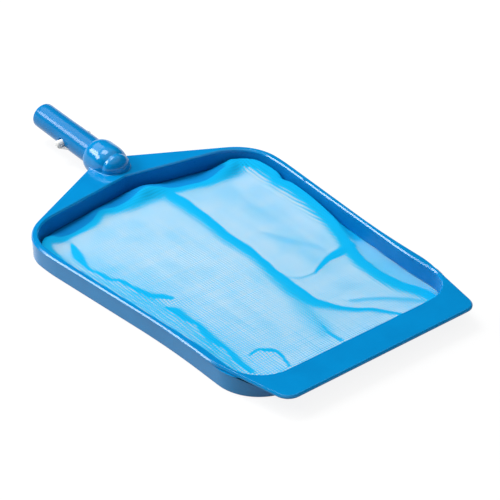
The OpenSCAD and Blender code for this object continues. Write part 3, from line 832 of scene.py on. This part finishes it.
def mixed(tree, share, low, high, **settings):
    """Colour between two others, given as hex or as sockets."""
    low, high = (linear(c) if isinstance(c, str) else c for c in (low, high))
    return add(tree, "Mix", {0: share, 6: low, 7: high}, data_type="RGBA",
               **settings).outputs[2]


def finished(made, tree, **inputs):
    """Gives the material its shader, whose inputs are named with _ for a space."""
    shader = add(tree, "BsdfPrincipled", {k.replace("_", " "): v for k, v in inputs.items()})
    add(tree, "OutputMaterial", {0: shader.outputs[0]})
    return made


# %% [markdown]
# Polypropylene is coloured all through, so its colour stays full in the shade. A polished
# mould leaves it glossy, with a faint waviness where thick parts shrank. Its refractive index
# is about 1.49.

# %% Moulded polypropylene
def polypropylene(name, colour, deep, roughness, wave=0.15, grain=0.06, streaks=False,
                  mirror=0.5):
    made, tree = material(name)
    place = add(tree, "TexCoord").outputs["Object"]
    if streaks:
        place = add(tree, "Mapping", {"Vector": place, "Scale": (1, 0.12, 1)}).outputs[0]
    # shrinkage over some 30 mm, and the skin's grain of about 1 mm
    slow = add(tree, "TexNoise", {"Vector": place, "Scale": 32, "Detail": 2}).outputs[0]
    fine = add(tree, "TexNoise", {"Vector": place, "Scale": 900, "Detail": 3}).outputs[0]
    base = mixed(tree, between(tree, slow, 0.3, 0.7), deep, colour)
    rough = between(tree, fine, 0.3, 0.7, roughness * 0.85, roughness * 1.2)
    swell = add(tree, "Bump", {"Height": slow, "Strength": wave, "Distance": 1.2 * MM})
    skin = add(tree, "Bump", {"Height": fine, "Strength": grain, "Distance": 0.04 * MM,
                              "Normal": swell.outputs[0]})
    return finished(made, tree, Base_Color=base, Roughness=rough, IOR=1.49,
                    Specular_IOR_Level=mirror, Normal=skin.outputs[0])


moulded_blue = polypropylene("moulded_polypropylene_blue", "#008ED2", "#0087CA", 0.12,
                             wave=0.08, grain=0.02, mirror=0.42)
ring_blue = polypropylene("moulded_polypropylene_ring", "#0086CC", "#007EC4", 0.3)
tube_blue = polypropylene("extruded_polypropylene_tube", "#0C84C6", "#0078BA", 0.17,
                          wave=0.4, streaks=True, mirror=0.2)
# painted highlight: the tongues' tips are a paler blue, standing for a glint
painted_glint_blue = polypropylene("polypropylene_painted_glint", "#9CD6F0", "#7CC4E8", 0.3)

# %% [markdown]
# Acetal is the springy, slippery plastic of clips and gears. It is moulded in plain white
# and has a soft satin gloss, with a refractive index of about 1.48.

# %% White acetal
made, tree = material("moulded_acetal_white")
place = add(tree, "TexCoord").outputs["Object"]
cloud = add(tree, "TexNoise", {"Vector": place, "Scale": 220, "Detail": 2}).outputs[0]
tint = mixed(tree, cloud, "#F0F1EF", "#FFFFFD")
skin = add(tree, "Bump", {"Height": cloud, "Strength": 0.2, "Distance": 0.1 * MM})
white_acetal = finished(made, tree, Base_Color=tint, Roughness=0.38, IOR=1.48,
                        Normal=skin.outputs[0])

# %% [markdown]
# The hem tape is woven from coarser yarn, in ribs about a millimetre apart that run up and
# down. Two waves on the object's own place make the weave: one by height and one by the
# distance along the tape.

# %% Woven hem tape
made, tree = material("woven_polyester_hem_tape")
place = add(tree, "TexCoord").outputs["Object"]
ribs_up = add(tree, "TexWave", {"Vector": place, "Scale": 160, "Distortion": 1.0},
              bands_direction="DIAGONAL")
ribs_round = add(tree, "TexWave", {"Vector": place, "Scale": 160, "Distortion": 0.6},
                 bands_direction="Z")
weave = maths(tree, "MULTIPLY", ribs_up.outputs[1], ribs_round.outputs[1])
tint = mixed(tree, weave, "#0070B8", "#1E9ADD")
yarn = add(tree, "Bump", {"Height": weave, "Strength": 0.6, "Distance": 0.3 * MM})
hem_tape = finished(made, tree, Base_Color=tint, Roughness=0.75, Normal=yarn.outputs[0])

# %% [markdown]
# The net is a plain weave of thin nylon threads. Between them it is open, so the weave is
# drawn as transparency: two sets of threads cross, each covering a part of its spacing. The
# real spacing is under a millimetre, which is too fine to show, so the threads are drawn
# 2.6 mm apart, and each gap between them is partly filled for the finer ones. Where the
# sheet's own attribute says that the threads close up in a fold, they cover more. The strip
# beside the rear wall is tinted a deeper blue, which is painted shade.

# %% Fine nylon mesh
THREAD_PITCH, THREAD_SOFT = 2.6 * MM, 0.35
UNEVEN_ALONG, UNEVEN_ACROSS = 9, 330
made, tree = material("woven_nylon_mesh_cyan")
sheet_uv = add(tree, "TexCoord").outputs["UV"]
closing = add(tree, "Attribute", attribute_name="close").outputs["Fac"]
shaded = add(tree, "Attribute", attribute_name="strip").outputs["Fac"]
patches = add(tree, "TexNoise", {"Vector": sheet_uv, "Scale": 26, "Detail": 3,
                                 "Distortion": 0.8}).outputs[0]
width = maths(tree, "ADD", between(tree, closing, -0.25, 1.0, 0.02, 1.1),
              between(tree, patches, 0.45, 0.8, 0.0, 0.12))
axes = add(tree, "SeparateXYZ", {0: sheet_uv})
gaps, crowns = [], []
for axis in (0, 1):
    # threads are drawn in unevenly, so that some rows are closer than others
    stretch = (UNEVEN_ALONG, UNEVEN_ACROSS, 1) if axis else (UNEVEN_ACROSS, UNEVEN_ALONG, 1)
    rows = add(tree, "Mapping", {"Vector": sheet_uv, "Scale": stretch}).outputs[0]
    rows = add(tree, "TexNoise", {"Vector": rows, "Scale": 1.0, "Detail": 1.0}).outputs[0]
    thick = maths(tree, "ADD", width, between(tree, rows, 0.3, 0.7, -0.1, 0.1),
                  use_clamp=True)
    # a wave along the axis has its crests on the threads, and is cut where a thread ends
    edge = maths(tree, "COSINE", maths(tree, "MULTIPLY", thick, pi))
    turn = maths(tree, "MULTIPLY", axes.outputs[axis], 2 * pi / THREAD_PITCH)
    wave = maths(tree, "COSINE", turn)
    gaps.append(between(tree, wave, maths(tree, "SUBTRACT", edge, THREAD_SOFT),
                        maths(tree, "ADD", edge, THREAD_SOFT), 1.0, 0.0))
    crowns.append(wave)
# where layers lie on each other, the threads of one close the gaps of the next
hole = maths(tree, "MULTIPLY", maths(tree, "MULTIPLY", *gaps),
             between(tree, closing, 0.5, 0.95, 1.0, 0.0))
# fine threads in a gap; the net is pulled closer towards the lip
filled = between(tree, axes.outputs[1], -0.16, 0.03, 0.44, 0.27)
cover = between(tree, hole, 0.0, 1.0, 1.0, filled)
# painted light and shade: each thread is tinted lighter on its crest and darker at its sides, as
# light falls on a round thread
painted_thread_shade = between(tree, maths(tree, "MAXIMUM", *crowns), -1.0, 1.0, 0.7, 1.04)
tint = mixed(tree, closing, "#08B6EA", "#00B3EE")
# painted shade: the strip beside the rear wall is tinted a deeper blue
tint = mixed(tree, shaded, tint, "#008CD6")
tint = mixed(tree, 1.0, tint, painted_thread_shade, blend_type="MULTIPLY")
# a thread is round and takes light from all about, so a sheet of threads shades less than a
# plain sheet does: its own normal is drawn most of the way to straight up, or straight down
# where it is seen from below
OWN_NORMAL = 0.2
surface = add(tree, "NewGeometry").outputs["Normal"]
own = add(tree, "VectorMath", {0: surface, 1: (OWN_NORMAL,) * 3}, operation="MULTIPLY")
upward = maths(tree, "SIGN", add(tree, "SeparateXYZ", {0: surface}).outputs[2])
upright = add(tree, "CombineXYZ", {2: maths(tree, "MULTIPLY", upward, 1 - OWN_NORMAL)})
soft = add(tree, "VectorMath", {0: own.outputs[0], 1: upright.outputs[0]}, operation="ADD")
soft = add(tree, "VectorMath", {0: soft.outputs[0]}, operation="NORMALIZE")
nylon_mesh = finished(made, tree, Base_Color=tint, Roughness=0.7, Specular_IOR_Level=0.08,
                      Alpha=cover, Normal=soft.outputs[0])

# %% [markdown]
# ## Each piece in its place
# Every piece takes its material, stands for its solid and rides on that solid's body: the
# head for what doesn't move, and one body for each button.

# %% Give out the materials and the bodies
for piece, finish, body, slot, *nodes in (
        (frame_piece, moulded_blue, "head", "frame", "frame"),
        (ring_piece, ring_blue, "head", "retaining_ring", "retaining_ring"),
        (tube_piece, tube_blue, "head", "handle_tube", "handle_tube"),
        (hem_piece, hem_tape, "head", "net_hem", "net_hem"),
        (net_piece, nylon_mesh, "head", "net_mesh", "net_mesh"),
        (bend_piece, white_acetal, "head", "clip", "clip_bend"),
        (left_arm, white_acetal, "left_button", "clip", "clip_arm_left"),
        (right_arm, white_acetal, "right_button", "clip", "clip_arm_right")):
    if piece == ring_piece:
        piece.data.materials[0], piece.data.materials[1] = finish, painted_glint_blue
    else:
        piece.data.materials.clear()
        piece.data.materials.append(finish)
    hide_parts(*nodes)
    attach(piece, body)
    report(piece)

x, y = net_edge.T

# %% [markdown]
# ## Floor, light and camera
# The head lies on a plain white floor. A softbox stands behind it on the left and gives the
# gloss its highlights. A second one hangs overhead, a little to the back, so that the rear
# wall shades a strip of the net. A long faint one behind is there for the tube, which mirrors
# it as a soft streak. A bright ceiling fills the shadows. The band of the surroundings that
# the flat lip mirrors towards the viewer is dark, which keeps its blue deep, and the horizon
# is as white as the floor.

# %% Floor
only()
bpy.ops.mesh.primitive_plane_add(size=12)
floor = bpy.context.active_object
floor.name = "floor"
made, tree = material("white_floor")
# what is seen, mirrored or seen through the net is lit like a backdrop, and only the light
# that it throws back at the head is a plain floor's
seen = add(tree, "LightPath").outputs
either = maths(tree, "MAXIMUM", seen["Is Camera Ray"], seen["Is Glossy Ray"])
any_of = maths(tree, "MAXIMUM", either, seen["Is Transmission Ray"])
plain = add(tree, "BsdfDiffuse", {"Color": (0.4, 0.4, 0.4, 1)})
half = add(tree, "BsdfDiffuse", {"Color": (0.15, 0.15, 0.15, 1)})
glow = add(tree, "Emission", {"Color": (1, 1, 1, 1), "Strength": 0.88})
lit = add(tree, "AddShader", {0: half.outputs[0], 1: glow.outputs[0]})
both = add(tree, "MixShader", {0: any_of, 1: plain.outputs[0], 2: lit.outputs[0]})
add(tree, "OutputMaterial", {0: both.outputs[0]})
floor.data.materials.append(made)

# %% Surroundings and lamps
world = bpy.data.worlds.new("studio")
scene = bpy.context.scene
scene.world = world
world.use_nodes = True
tree = world.node_tree
tree.nodes.clear()
upward = add(tree, "SeparateXYZ", {0: add(tree, "TexCoord").outputs["Generated"]}).outputs[2]
bands = add(tree, "ValToRGB", {0: upward})
ramp = bands.color_ramp
ramp.interpolation = "EASE"
ramp.elements[0].position, ramp.elements[0].color = 0.08, (1, 1, 1, 1)
ramp.elements[1].position, ramp.elements[1].color = 0.2, (0.03, 0.03, 0.03, 1)
for at, bright in ((0.62, 0.03), (0.85, 0.8)):
    ramp.elements.new(at).color = (bright, bright, bright, 1)
sky = add(tree, "Background", {"Color": bands.outputs[0], "Strength": 1.0})
add(tree, "OutputWorld", {0: sky.outputs[0]})

LAMP_FAR = 2.2
centre = Vector((0, -0.02, 0.01))
# each lamp has its direction from the head, its width and height in metres and its watts
for name, toward, wide, tall, power in (("softbox", (-0.534, 0.654, 0.534), 1.1, 0.6, 27),
                                        ("overhead", (-0.1, 0.40, 0.91), 1.0, 1.0, 26),
                                        ("back light", (0.0, 0.754, 0.656), 1.3, 0.35, 3)):
    lamp = bpy.data.lights.new(name, "AREA")
    lamp.shape, lamp.size, lamp.size_y, lamp.energy = "RECTANGLE", wide, tall, power
    holder = bpy.data.objects.new(name, lamp)
    scene.collection.objects.link(holder)
    toward = Vector(toward).normalized()
    holder.location = centre + toward * LAMP_FAR
    holder.rotation_euler = toward.to_track_quat("Z", "Y").to_euler()

# %% Camera
camera_data = bpy.data.cameras.new("camera")
camera = bpy.data.objects.new("camera", camera_data)
scene.collection.objects.link(camera)
camera.location = (-0.8339, -1.1236, 0.8805)
aim = Vector((0.02995, -0.04414, 0)) - camera.location
camera.rotation_euler = (aim.to_track_quat("-Z", "Y").to_matrix()
                         @ Matrix.Rotation(radians(-0.212), 3, "Z")).to_euler()
camera_data.lens, camera_data.sensor_width, camera_data.clip_end = 123.2, 36, 30
scene.camera = camera
scene.view_settings.view_transform = "Standard"
